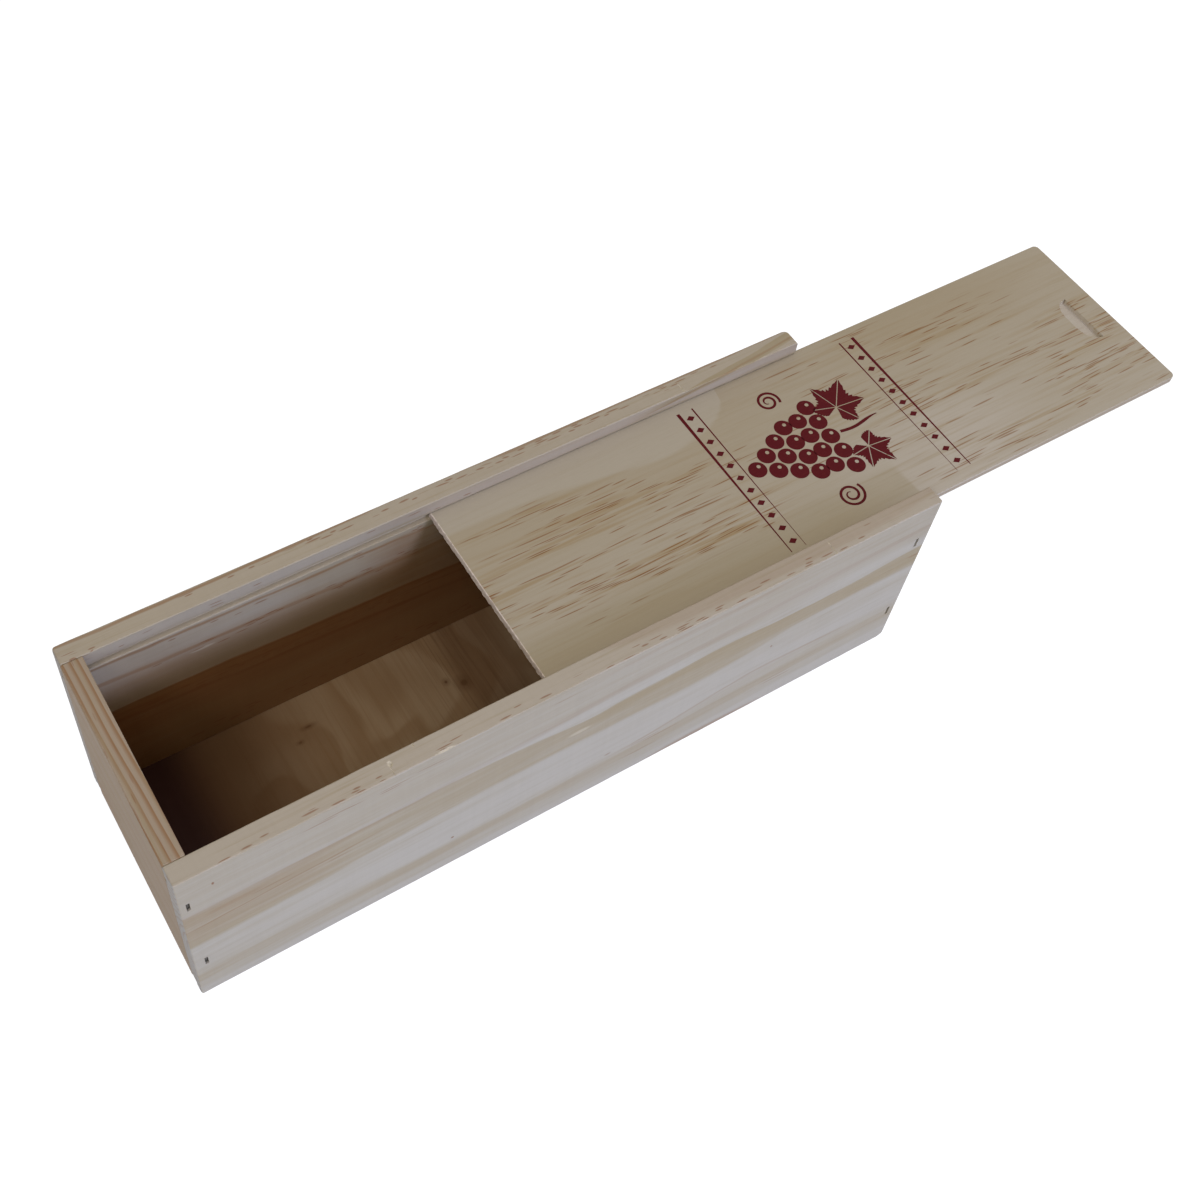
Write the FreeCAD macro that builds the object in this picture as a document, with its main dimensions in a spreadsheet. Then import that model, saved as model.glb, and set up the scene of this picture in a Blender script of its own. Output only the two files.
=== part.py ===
"""Wooden bottle box with a sliding lid.

Two long side boards overlap two end boards and are stapled to them. A thin
plywood bottom sits in a rebate around the lower inner edge and is stapled
from below. A thin plywood lid slides in grooves in the side boards and
leaves the box over the lower of the two end boards.

Frame: millimetres, +Z up, origin at the centre of the underside. X runs
along the box, from the closed end (-X) to the open end (+X), where the lid
slides out. Y runs across it, from the front side (-Y) to the back side (+Y).
"""
import FreeCAD, Part
import os
import Sketcher

SIZES = [
    ("box_length", 350.0, "outside, along X"),
    ("box_width", 111.0, "outside, along Y"),
    ("box_height", 105.0, "outside, along Z"),
    ("side_thickness", 9.0, "side boards"),
    ("end_thickness", 9.0, "end boards"),
    ("lip_height", 7.1, "wood left above the lid groove"),
    ("groove_height", 4.1, "lid groove, along Z"),
    ("groove_depth", 2.3, "lid groove, into the side board"),
    ("lid_thickness", 3.6, "plywood lid"),
    ("lid_under_play", 0.1, "between the lid and the lower face of its groove"),
    ("lid_side_play", 0.8, "between the lid and the bottom of each groove"),
    ("lid_end_play", 1.0, "what the lid is short of the space that it closes"),
    ("lid_drawn", 150.4, "from the closed end board to the lid's leading edge"),
    ("lid_corner_radius", 2.5, "outer corners of the lid"),
    ("notch_width", 27.5, "thumb notch, along Y"),
    ("notch_reach", 8.6, "thumb notch, along X"),
    ("notch_depth", 1.5, "thumb notch, at its steep side"),
    ("notch_setback", 12.7, "from the lid's outer end to the notch's steep side"),
    ("open_end_drop", 0.2, "top of the open end board below the lid groove"),
    ("bottom_thickness", 3.0, "plywood bottom"),
    ("bottom_bearing", 5.0, "how far the rebate reaches under the walls"),
    ("bottom_play", 0.1, "around the bottom in its rebate"),
    ("staple_crown", 5.8, "outside width of a staple"),
    ("staple_leg", 19.0, "outside height of a staple"),
    ("staple_bend", 0.5, "outside radius of a staple's bends"),
    ("staple_point", 1.0, "height of the chisel point of a leg"),
    ("wire_width", 1.2, "staple wire, across the staple"),
    ("wire_depth", 0.9, "staple wire, in the plane of the staple"),
    ("corner_sink", 0.7, "corner staples below the outer face"),
    ("bottom_sink", 0.3, "bottom staples below the underside"),
    ("closed_high_inset", 3.6, "upper staples of the closed end, from that end"),
    ("closed_high_drop", 21.3, "upper staples of the closed end, below the top edge"),
    ("closed_low_inset", 5.2, "lower staples of the closed end, from that end"),
    ("closed_low_level", 30.1, "lower staples of the closed end, above the underside"),
    ("open_high_inset", 6.2, "upper staples of the open end, from that end"),
    ("open_high_drop", 26.2, "upper staples of the open end, below the top edge"),
    ("open_low_inset", 4.7, "lower staples of the open end, from that end"),
    ("open_low_level", 24.0, "lower staples of the open end, above the underside"),
    ("bottom_staple_pitch", 112.0, "between bottom staples along a side"),
]

# Places that several pieces share, as expressions of the sheet "Size".
HALF_LENGTH = "Size.box_length / 2"
HALF_WIDTH = "Size.box_width / 2"
INNER_HALF_LENGTH = f"({HALF_LENGTH} - Size.end_thickness)"
INNER_HALF_WIDTH = f"({HALF_WIDTH} - Size.side_thickness)"
GROOVE_TOP = "(Size.box_height - Size.lip_height)"
GROOVE_FLOOR = f"({GROOVE_TOP} - Size.groove_height)"
GROOVE_HALF_WIDTH = f"({INNER_HALF_WIDTH} + Size.groove_depth)"
REBATE_HALF_LENGTH = f"({INNER_HALF_LENGTH} + Size.bottom_bearing)"
REBATE_HALF_WIDTH = f"({INNER_HALF_WIDTH} + Size.bottom_bearing)"
LID_UNDERSIDE = f"({GROOVE_FLOOR} + Size.lid_under_play)"
LID_LEADING_EDGE = f"(Size.lid_drawn - {INNER_HALF_LENGTH})"
LID_LENGTH = "(Size.box_length - Size.end_thickness - Size.lid_end_play)"
LID_HALF_WIDTH = f"({GROOVE_HALF_WIDTH} - Size.lid_side_play)"

# The thumb notch is what a tilted disc cutter leaves: steep and straight
# towards the lid's outer end, and shallowing out on the other side.
NOTCH_TILT = "(asin(2 * Size.notch_depth / Size.notch_reach) / 2)"
NOTCH_SLANT = f"(Size.notch_depth / cos({NOTCH_TILT}))"
CUTTER_RADIUS = f"(Size.notch_width ^ 2 / 8 / {NOTCH_SLANT} + {NOTCH_SLANT} / 2)"
CUTTER_RISE = f"({CUTTER_RADIUS} * cos({NOTCH_TILT}) - Size.notch_depth)"

SIDES = {"front": -1, "back": 1}
ENDS = {"closed": -1, "open": 1}
AXES = {
    "+X": FreeCAD.Vector(1, 0, 0),
    "+Y": FreeCAD.Vector(0, 1, 0),
    "-Y": FreeCAD.Vector(0, -1, 0),
    "+Z": FreeCAD.Vector(0, 0, 1),
}
TINY = 1e-6

doc = FreeCAD.newDocument("bottle_box")
sheet = doc.addObject("Spreadsheet::Sheet", "Size")
for row, (alias, value, note) in enumerate(SIZES, start=1):
    sheet.set(f"A{row}", note)
    sheet.set(f"B{row}", str(value))
    sheet.setAlias(f"B{row}", alias)
doc.recompute()


def number(expression):
    """The value that an expression has now."""
    return float(sheet.evalExpression(expression))


def place(thing, x, y, z, rotation=FreeCAD.Rotation()):
    """Put a thing at three expressions."""
    thing.Placement = FreeCAD.Placement(FreeCAD.Vector(), rotation)
    for letter, expression in zip("xyz", (x, y, z)):
        thing.setExpression(f"Placement.Base.{letter}", expression)


def turned(crown, legs):
    """The rotation that turns a staple's crown and its legs to two axes."""
    up = -AXES[legs]
    return FreeCAD.Rotation(AXES[crown], up.cross(AXES[crown]), up, "ZXY")


def outline(body, role, corners):
    """A closed outline on an origin plane, with each corner held by two sizes."""
    sketch = body.newObject("Sketcher::SketchObject", f"{body.Name}_outline")
    plane = next(item for item in body.Origin.OriginFeatures if item.Role == role)
    sketch.AttachmentSupport = (plane, [""])
    sketch.MapMode = "FlatFace"
    points = [FreeCAD.Vector(number(across), number(along), 0) for across, along in corners]
    following = points[1:] + points[:1]
    sketch.addGeometry([Part.LineSegment(*ends) for ends in zip(points, following)], False)
    last = len(corners) - 1
    for i, (across, along) in enumerate(corners):
        sketch.addConstraint(Sketcher.Constraint("Coincident", i - 1 if i else last, 2, i, 1))
        for kind, expression in (("DistanceX", across), ("DistanceY", along)):
            size = Sketcher.Constraint(kind, -1, 1, i, 1, number(expression))
            sketch.setExpression(f"Constraints[{sketch.addConstraint(size)}]", expression)
    return sketch


def padded(label, role, corners, length, side_type):
    """A body padded from one outline."""
    body = doc.addObject("PartDesign::Body", label)
    body.Label = label
    pad = body.newObject("PartDesign::Pad", f"{label}_pad")
    pad.Profile = outline(body, role, corners)
    pad.SideType = side_type
    pad.setExpression("Length", length)
    body.Tip = pad
    doc.recompute()
    return body


def round_edges(body, axis, middle_test, radius):
    """Round the body's edges along an axis whose middle passes a test."""
    base = body.Tip
    names = [f"Edge{i}" for i, edge in enumerate(base.Shape.Edges, start=1)
             if edge.tangentAt(edge.FirstParameter).cross(axis).Length < TINY
             and middle_test(edge.CenterOfMass)]
    fillet = body.newObject("PartDesign::Fillet", f"{body.Name}_rounding")
    fillet.Base = (base, names)
    fillet.setExpression("Radius", radius)
    body.Tip = fillet


def cut(label, blank, tool):
    """The finished piece: its blank less its tool."""
    piece = doc.addObject("Part::Cut", f"{label}_cut")
    piece.Base = blank
    piece.Tool = tool
    piece.Label = label
    return piece


def joined(label, tools):
    """Several tools as one."""
    whole = doc.addObject("Part::MultiFuse", label)
    whole.Shapes = tools
    return whole


def rectangle(low_x, high_x, half_width):
    """The corners of a rectangle that lies evenly about the X axis."""
    return [(low_x, f"-{half_width}"), (high_x, f"-{half_width}"),
            (high_x, half_width), (low_x, half_width)]


def side_blank(side):
    """A side board with its lid groove and its rebate for the bottom."""
    profile = [
        (HALF_WIDTH, "0"),
        (REBATE_HALF_WIDTH, "0"),
        (REBATE_HALF_WIDTH, "Size.bottom_thickness"),
        (INNER_HALF_WIDTH, "Size.bottom_thickness"),
        (INNER_HALF_WIDTH, GROOVE_FLOOR),
        (GROOVE_HALF_WIDTH, GROOVE_FLOOR),
        (GROOVE_HALF_WIDTH, GROOVE_TOP),
        (INNER_HALF_WIDTH, GROOVE_TOP),
        (INNER_HALF_WIDTH, "Size.box_height"),
        (HALF_WIDTH, "Size.box_height"),
    ]
    corners = [(f"{SIDES[side]} * ({y})", z) for y, z in profile]
    return padded(f"side_{side}_blank", "YZ_Plane", corners, "Size.box_length", "Symmetric")


def end_blank(end, top):
    """An end board with its rebate for the bottom, between the side boards."""
    profile = [
        (HALF_LENGTH, "0"),
        (REBATE_HALF_LENGTH, "0"),
        (REBATE_HALF_LENGTH, "Size.bottom_thickness"),
        (INNER_HALF_LENGTH, "Size.bottom_thickness"),
        (INNER_HALF_LENGTH, top),
        (HALF_LENGTH, top),
    ]
    corners = [(f"{ENDS[end]} * ({x})", z) for x, z in profile]
    return padded(f"end_{end}_blank", "XZ_Plane", corners, f"2 * {INNER_HALF_WIDTH}", "Symmetric")


def bottom_blank():
    """The plywood bottom, which fills the rebate flush with the underside."""
    half_length = f"({REBATE_HALF_LENGTH} - Size.bottom_play)"
    half_width = f"({REBATE_HALF_WIDTH} - Size.bottom_play)"
    corners = rectangle(f"-{half_length}", half_length, half_width)
    return padded("bottom_panel_blank", "XY_Plane", corners, "Size.bottom_thickness", "One side")


def lid():
    """The lid, partly drawn out, with its thumb notch."""
    blank = padded("lid_blank", "XY_Plane", rectangle("0", LID_LENGTH, LID_HALF_WIDTH),
                   "Size.lid_thickness", "One side")
    outer_end = number(LID_LENGTH)
    round_edges(blank, AXES["+Z"], lambda middle: middle.x > outer_end - TINY,
                "Size.lid_corner_radius")
    place(blank, LID_LEADING_EDGE, "0", LID_UNDERSIDE)
    cutter = doc.addObject("Part::Cylinder", "thumb_notch_cutter")
    cutter.setExpression("Radius", CUTTER_RADIUS)
    cutter.setExpression("Height", "Size.notch_reach")
    steep_side = f"{LID_LEADING_EDGE} + {LID_LENGTH} - Size.notch_setback"
    place(cutter, f"{steep_side} + {CUTTER_RISE} * tan({NOTCH_TILT})", "0",
          f"{LID_UNDERSIDE} + Size.lid_thickness + {CUTTER_RISE}",
          FreeCAD.Rotation(AXES["+Y"], 1))
    cutter.setExpression("Placement.Rotation.Angle", f"{NOTCH_TILT} - 90 deg")
    return cut("lid", blank, cutter)


def staple_outline(crown_top):
    """A staple seen from the front, legs down, its crown's top at a given height."""
    outer = "Size.staple_crown / 2"
    inner = "(Size.staple_crown / 2 - Size.wire_depth)"
    shoulder = "Size.staple_point - Size.staple_leg"
    right = [(outer, crown_top), (outer, shoulder), (inner, "-Size.staple_leg"),
             (inner, "-Size.wire_depth")]
    left = [(f"-{x}", z) for x, z in reversed(right)]
    return right + left


def staple(label, rotation, x, y, z, sink):
    """A staple, and the hole that its legs and its sunk crown make."""
    wire = padded(label, "XZ_Plane", staple_outline("0"), "Size.wire_width", "Symmetric")
    round_edges(wire, AXES["+Y"], lambda middle: middle.z > -TINY, "Size.staple_bend")
    hole = padded(f"{label}_hole", "XZ_Plane", staple_outline(f"2 * {sink}"),
                  "Size.wire_width", "Symmetric")
    for body in (wire, hole):
        place(body, x, y, z, rotation)
    return wire, hole


def corner_staples():
    """Two staples at each corner, through a side board into an end board."""
    for side, across in SIDES.items():
        rotation = turned("+Z", "+Y" if side == "front" else "-Y")
        for end, along in ENDS.items():
            levels = {"high": f"Size.box_height - Size.{end}_high_drop",
                      "low": f"Size.{end}_low_level"}
            for level, height in levels.items():
                wire, hole = staple(
                    f"staple_{side}_{end}_{level}", rotation,
                    f"{along} * ({HALF_LENGTH} - Size.{end}_{level}_inset)",
                    f"{across} * ({HALF_WIDTH} - Size.corner_sink)",
                    height, "Size.corner_sink")
                yield wire, hole, (f"side_{side}", f"end_{end}")


def bottom_staples():
    """Staples up through the bottom: a row along each side, one at each end."""
    for side, across in SIDES.items():
        for step, place_name in ((-1, "closed"), (0, "middle"), (1, "open")):
            wire, hole = staple(
                f"staple_bottom_{side}_{place_name}", turned("+X", "+Z"),
                f"{step} * Size.bottom_staple_pitch",
                f"{across} * ({REBATE_HALF_WIDTH} - Size.bottom_bearing / 2)",
                "Size.bottom_sink", "Size.bottom_sink")
            yield wire, hole, ("bottom_panel", f"side_{side}")
    for end, along in ENDS.items():
        wire, hole = staple(
            f"staple_bottom_{end}", turned("+Y", "+Z"),
            f"{along} * ({REBATE_HALF_LENGTH} - Size.bottom_bearing / 2)", "0",
            "Size.bottom_sink", "Size.bottom_sink")
        yield wire, hole, ("bottom_panel", f"end_{end}")


blanks = {f"side_{side}": side_blank(side) for side in SIDES}
blanks["end_closed"] = end_blank("closed", "Size.box_height")
blanks["end_open"] = end_blank("open", f"({GROOVE_FLOOR} - Size.open_end_drop)")
blanks["bottom_panel"] = bottom_blank()

pieces = [lid()]
holes = {name: [] for name in blanks}
for wire, hole, pierced in [*corner_staples(), *bottom_staples()]:
    pieces.append(wire)
    for name in pierced:
        holes[name].append(hole)
for name, blank in blanks.items():
    pieces.append(cut(name, blank, joined(f"{name}_holes", holes[name])))
doc.recompute()

for item in doc.Objects:
    if {"Invalid", "Error"} & set(item.State):
        raise RuntimeError(f"{item.Label} did not compute: {item.State}")
for name, blank in blanks.items():
    piece = next(item for item in pieces if item.Label == name)
    if piece.Shape.Volume > blank.Shape.Volume - TINY:
        raise RuntimeError(f"{name} lost nothing to its staple holes")

os.makedirs("parts", exist_ok=True)
for piece in pieces:
    shape = piece.Shape
    if shape.isNull() or not shape.isValid() or len(shape.Solids) != 1:
        raise RuntimeError(f"{piece.Label} is not one valid solid")
    shape.exportStep(f"parts/{piece.Label}.step")
    print(f"{piece.Label:28s} {shape.Volume:12.2f} mm3")
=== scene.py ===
"""Looks of a wooden bottle box with a sliding lid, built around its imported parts.

Every piece of timber, plywood and wire is modelled again in detail over its
part, and gets a finish of its own. X runs along the box from the closed end
to the open end, Y from the front side to the back side, and Z up from the
underside. Blender units are metres; a number here is in millimetres unless
it is a property's value.
"""

import math
from collections import namedtuple
from functools import partialmethod

import bmesh
import bpy
from bpy.props import FloatProperty, FloatVectorProperty, PointerProperty
from bpy.types import Operator, Panel, PropertyGroup
from mathutils import Matrix, Vector, noise


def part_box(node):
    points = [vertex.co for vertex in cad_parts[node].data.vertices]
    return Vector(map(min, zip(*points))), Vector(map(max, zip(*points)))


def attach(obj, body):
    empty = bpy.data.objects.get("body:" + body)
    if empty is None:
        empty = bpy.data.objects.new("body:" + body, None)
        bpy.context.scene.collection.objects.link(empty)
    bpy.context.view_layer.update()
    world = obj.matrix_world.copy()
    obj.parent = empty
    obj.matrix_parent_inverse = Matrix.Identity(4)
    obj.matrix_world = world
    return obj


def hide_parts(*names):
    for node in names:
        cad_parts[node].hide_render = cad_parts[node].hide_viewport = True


bl_info = {
    "name": "Bottle Box",
    "version": (1, 0, 0),
    "blender": (4, 5, 0),
    "location": "3D View > Sidebar > Bottle Box",
    "description": "Builds the looks of a wooden bottle box with a sliding lid",
    "category": "Object",
}

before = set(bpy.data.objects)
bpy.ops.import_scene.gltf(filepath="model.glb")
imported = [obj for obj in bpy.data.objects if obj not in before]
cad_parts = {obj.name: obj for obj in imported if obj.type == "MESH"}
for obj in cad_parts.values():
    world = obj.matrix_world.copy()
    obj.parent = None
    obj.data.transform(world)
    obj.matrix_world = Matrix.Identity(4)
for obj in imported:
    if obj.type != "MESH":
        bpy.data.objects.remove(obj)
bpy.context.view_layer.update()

MM = 0.001
AXES = "XYZ"


def corners(node):
    """The lowest and the highest corner of a part, in millimetres."""
    return [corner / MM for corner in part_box(node)]


HALF_LENGTH = corners("side_front")[1].x
HALF_WIDTH = corners("side_back")[1].y
HEIGHT = corners("side_front")[1].z
BOARD = HALF_WIDTH - corners("side_back")[0].y
INNER_HALF_WIDTH = HALF_WIDTH - BOARD
LID_LOW, LID_HIGH = corners("lid")


def colour_property(name, description, *screen):
    """A colour from its red, green and blue on a screen, 0 to 255, shown as a swatch."""
    shares = [channel / 255 for channel in screen]
    linear = [c / 12.92 if c <= 0.04045 else ((c + 0.055) / 1.055) ** 2.4 for c in shares]
    return FloatVectorProperty(name=name, description=description, default=linear,
                               subtype="COLOR", size=3, min=0, max=1)


def length_property(name, description, default):
    """A length given in millimetres and kept in metres."""
    return FloatProperty(name=name, description=description, default=default * MM,
                         unit="LENGTH", precision=5)


def factor_property(name, description, default):
    """A share from 0 to 1."""
    return FloatProperty(name=name, description=description, default=default,
                         min=0, max=1, subtype="FACTOR")


def power_property(name, description, default):
    """A lamp's power in watts."""
    return FloatProperty(name=name, description=description, default=default, unit="POWER")


# ---------------------------------------------------------------- settings

class TimberSettings(PropertyGroup):
    """Sizes and colours of the solid pine boards."""
    arris: length_property("Arris", "Radius of the boards' sanded edges", 0.55)
    step: length_property("Step", "Distance between a board's sections", 3.5)
    wear: factor_property("Wear", "How unevenly the edges are sanded", 0.45)
    sapwood: colour_property("Sapwood", "Pale ground of the side boards", 173, 167, 160)
    latewood: colour_property("Latewood", "Darker bands of the side boards", 152, 137, 112)
    edge: colour_property("Edge", "Ground of the side boards' top edges", 172, 161, 150)
    # Inner is mostly painted shade: the warm dark brown that the deep inside of the box takes on.
    inner: colour_property("Inner", "Low half of the side boards' inner faces", 137, 97, 57)
    heartwood: colour_property("Heartwood", "Ground of the end boards", 148, 129, 112)
    ring: colour_property("Ring", "Ring lines of the end boards", 134, 98, 64)
    end_grain: colour_property("End grain", "Sawn ends of the side boards", 158, 156, 160)
    fleck: colour_property("Fleck", "Resin dashes along the grain", 120, 70, 34)
    # Torn wood is also laid in the grooves as painted light.
    torn: colour_property("Torn wood", "Fresh wood in nicks and splinters", 200, 190, 174)


class PlywoodSettings(PropertyGroup):
    """Sizes and colours of the lid and the bottom."""
    arris: length_property("Arris", "Radius of the panels' edges", 0.3)
    step: length_property("Step", "Distance between points along an edge", 0.8)
    fuzz: length_property("Fuzz", "Depth of the sawn edge's torn fibres", 0.45)
    veneer: colour_property("Veneer", "Pale ground of the lid's veneer", 169, 159, 146)
    figure: colour_property("Figure", "Darker figure of the lid's veneer", 159, 145, 124)
    streak: colour_property("Streak", "Brown streaks of the lid's veneer", 146, 121, 82)
    dash: colour_property("Dash", "Resin dashes of the veneers", 122, 80, 36)
    core: colour_property("Core", "Middle ply, seen at the edges", 154, 136, 118)
    torn: colour_property("Torn ply", "Wood laid bare in the thumb notch", 180, 171, 163)
    lit_ply: colour_property("Sawn ply", "Sawn edge at the lid's inner end", 216, 202, 198)
    floor: colour_property("Floor veneer", "Ground of the bottom's veneer", 167, 141, 112)
    floor_figure: colour_property("Floor figure", "Figure of the bottom's veneer", 140, 108, 74)
    # Floor heart is the veneer's dark band and knots, and also painted shade towards the closed
    # end.
    floor_heart_and_shade: colour_property("Floor heart", "Dark band of the bottom's veneer", 98, 65, 35)
    # Floor end is painted shadow of the closed end on the bottom, darkest next to it.
    floor_painted_shadow: colour_property("Floor end", "Darkest wood of the bottom's veneer", 52, 21, 11)


class OrnamentSettings(PropertyGroup):
    """The ornament printed on the lid."""
    ink: colour_property("Ink", "Colour of the ink", 82, 14, 22)
    thin_ink: colour_property("Thin ink", "Colour of the ink where it is thin", 122, 54, 50)
    distance: length_property("Distance", "From the lid's inner end to the middle", 171)
    width: length_property("Width", "Width of the ornament", 84)
    height: length_property("Height", "Height of the ornament", 98)
    grape: length_property("Grape", "Radius of a grape", 4.2)
    stroke: length_property("Stroke", "Width of the drawn lines", 1.5)
    thickness: length_property("Thickness", "Height of the ink above the lid", 0.05)
    sunk: length_property("Sunk", "How far the ink soaks into the lid", 0.1)


class StapleSettings(PropertyGroup):
    """The wire staples."""
    slack: length_property("Slack", "Width of the crushed wood around a crown", 0.12)
    rounding: length_property("Rounding", "Radius of the wire's edges", 0.18)
    bend: length_property("Bend", "Outside radius of the wire's bends", 0.6)
    wire: length_property("Wire", "Depth of the wire in the plane of the staple", 0.9)
    point: length_property("Point", "Height of a leg's chisel point", 1.0)
    # The steel is painted dark, as the shade of staple crowns sunk in their holes.
    shaded_steel: colour_property("Steel", "Colour of the galvanised wire", 72, 68, 65)


class StudioSettings(PropertyGroup):
    """Camera, lamps and floor."""
    camera_place: FloatVectorProperty(
        name="Camera place", description="Where the camera stands", subtype="TRANSLATION",
        unit="LENGTH", default=(-0.21525, -0.28964, 0.62662), precision=5)
    camera_turn: FloatVectorProperty(
        name="Camera turn", description="How the camera is turned", subtype="EULER",
        default=(math.radians(35.714), math.radians(-3.756), math.radians(-31.305)))
    focal_length: FloatProperty(name="Focal length", description="Lens of the camera",
                                default=47.6, unit="CAMERA")
    shift: FloatVectorProperty(name="Shift", description="Framing of the camera", size=2,
                               default=(0.0635, -0.0526), precision=4)
    front: power_property("Front", "Power of the low cool lamp at the front", 18.7)
    window: power_property("Window", "Power of the low lamp beside the camera", 6)
    high: power_property("High", "Power of the small lamp high over the closed end", 3)
    side: power_property("Side", "Power of the lamp beyond the closed end", 5)
    far: power_property("Far", "Power of the lamp beyond the open end", 9.5)
    lamp_distance: length_property("Lamp distance", "How far the lamps stand off", 2000)
    ambient: FloatProperty(name="Ambient", description="Strength of the light from all round",
                           default=0.44, min=0)
    sky: FloatVectorProperty(name="Sky", description="Colour of the light from all round",
                             default=(1.0, 0.945, 0.72), subtype="COLOR", size=3, min=0, max=1)
    floor_radius: FloatProperty(name="Floor radius", description="Radius of the floor",
                                default=4.0, unit="LENGTH")


class BottleBoxSettings(PropertyGroup):
    """All the settings of the box."""
    timber: PointerProperty(type=TimberSettings)
    plywood: PointerProperty(type=PlywoodSettings)
    ornament: PointerProperty(type=OrnamentSettings)
    staples: PointerProperty(type=StapleSettings)
    studio: PointerProperty(type=StudioSettings)


def settings():
    """The box's settings in this scene."""
    return bpy.context.scene.bottle_box


# ------------------------------------------------------------------ shapes

CORNER_TURN = math.radians(60)
ARC_STEPS = 3
SMOOTH_TURN = math.radians(38)
NEAR = 0.001
LEAST_ROUND = 0.125
WEAR_LENGTH = 9
WEAR_SHIFT = 7.3


def heading(turn):
    """The flat direction at an angle from X."""
    return Vector((math.cos(turn), math.sin(turn)))


def flat_axes(axis):
    """The numbers of the two other axes."""
    return [i for i in range(3) if i != AXES.index(axis)]


def in_space(axis, along, point):
    """A point from its place along an axis and its two other coordinates."""
    coordinates = list(point)
    coordinates.insert(AXES.index(axis), along)
    return Vector(coordinates)


def turn_at(points, i):
    """How far an outline turns at one of its points, in radians."""
    before = points[i] - points[i - 1]
    after = points[(i + 1) % len(points)] - points[i]
    return math.atan2(before.x * after.y - before.y * after.x, before.dot(after))


def counter_clockwise(points):
    """The outline with its inside on its left, and no points within straight runs."""
    area = sum(a.x * b.y - b.x * a.y for a, b in zip(points, points[1:] + points[:1]))
    points = points if area > 0 else points[::-1]
    return [p for i, p in enumerate(points) if abs(turn_at(points, i)) > NEAR]


def end_outline(node, axis, high=True):
    """The outline of a part's flat face at one end of an axis."""
    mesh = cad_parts[node].data
    index = AXES.index(axis)
    level = corners(node)[high][index]
    spots = {v.index: tuple(round(v.co[i] / MM, 3) for i in flat_axes(axis))
             for v in mesh.vertices if abs(v.co[index] / MM - level) < NEAR}
    edges = set()
    for face in mesh.polygons:
        if all(i in spots for i in face.vertices):
            ring = [spots[i] for i in face.vertices]
            edges |= set(zip(ring, ring[1:] + ring[:1]))
    following = {start: stop for start, stop in edges if (stop, start) not in edges}
    points = [min(following)]
    while following[points[-1]] != points[0]:
        points.append(following[points[-1]])
    return counter_clockwise([Vector(point) for point in points])


def divided(outline, step):
    """The outline with more points along its runs."""
    points = []
    for start, stop in zip(outline, outline[1:] + outline[:1]):
        parts = max(1, round((stop - start).length / step))
        points += [start.lerp(stop, i / parts) for i in range(parts)]
    return points


def eased(outline, inset, radius):
    """The outline moved inwards, with its outward corners rounded to radius(i)."""
    ring = []
    for i, point in enumerate(outline):
        before = (point - outline[i - 1]).normalized()
        after = (outline[(i + 1) % len(outline)] - point).normalized()
        outward = [Vector((way.y, -way.x)) for way in (before, after)]
        both = outward[0] + outward[1]
        corner = point - both * inset / (1 + outward[0].dot(outward[1]))
        if turn_at(outline, i) < CORNER_TURN:
            ring.append(corner)
            continue
        size = max(radius(i) - inset, radius(i) * LEAST_ROUND)
        centre = corner - both * size / (1 + outward[0].dot(outward[1]))
        for step in range(ARC_STEPS + 1):
            angle = math.pi / 2 * step / ARC_STEPS
            ring.append(centre + size * (outward[0] * math.cos(angle)
                                         + outward[1] * math.sin(angle)))
    return ring


def placed(name, data):
    """An object in the scene with its data."""
    thing = bpy.data.objects.new(name, data)
    bpy.context.scene.collection.objects.link(thing)
    return thing


def new_piece(name, builder):
    """An object in the scene from a finished bmesh."""
    mesh = bpy.data.meshes.new(name)
    bmesh.ops.recalc_face_normals(builder, faces=builder.faces)
    builder.to_mesh(mesh)
    builder.free()
    return placed(name, mesh)


def skin(builder, rings, joined=False):
    """A skin from ring to ring, joined into a loop or closed with a face at each end."""
    following = rings[1:] + rings[:1] if joined else rings[1:]
    for near, far in zip(rings, following):
        for i in range(len(near)):
            builder.faces.new((near[i - 1], near[i], far[i], far[i - 1]))
    if not joined:
        builder.faces.new(rings[0])
        builder.faces.new(rings[-1])


def lofted(name, axis, sections):
    """An object with a closed skin over sections, each a place along an axis and a ring."""
    builder = bmesh.new()
    skin(builder, [[builder.verts.new(in_space(axis, place, point) * MM) for point in ring]
                   for place, ring in sections])
    return new_piece(name, builder)


def block_sections(outline, low, high, arris, step, wear=0.0, gaps=()):
    """The sections of a block with an outline, its edges rounded and unevenly worn.

    The gaps are distances from the roundings at which both ends get one more section.
    """
    turns = [math.pi / 2 * i / ARC_STEPS for i in range(ARC_STEPS)]
    rounding = [(arris * (1 - math.sin(a)), arris * (1 - math.cos(a))) for a in turns]
    first, length = low + arris, high - low - 2 * arris
    count = max(1, round(length / step))
    middle = [first + length * i / count for i in range(count + 1)]
    middle += [first + gap for gap in gaps] + [high - arris - gap for gap in gaps]
    places = [(low + run, inset) for inset, run in rounding]
    places += [(place, 0) for place in sorted(middle)]
    places += [(high - run, inset) for inset, run in reversed(rounding)]
    sections = []
    for place, inset in places:
        def radius(i):
            rough = noise.noise((place / WEAR_LENGTH, i * WEAR_SHIFT, low))
            return arris * (1 + wear * rough)
        sections.append((place, eased(outline, inset, radius)))
    return sections


END_GAPS = (0.3, 0.8, 1.5, 2.3, 3.2)
END_RADII = {
    "side_front": ((1.0, 0.7, 1.2), (1.4, 0.9, 4.6)),
    "side_back": ((1.6, 0.9, 1.2), (3.4, 1.6, 2.0)),
}
END_DROP = 5.0


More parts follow.
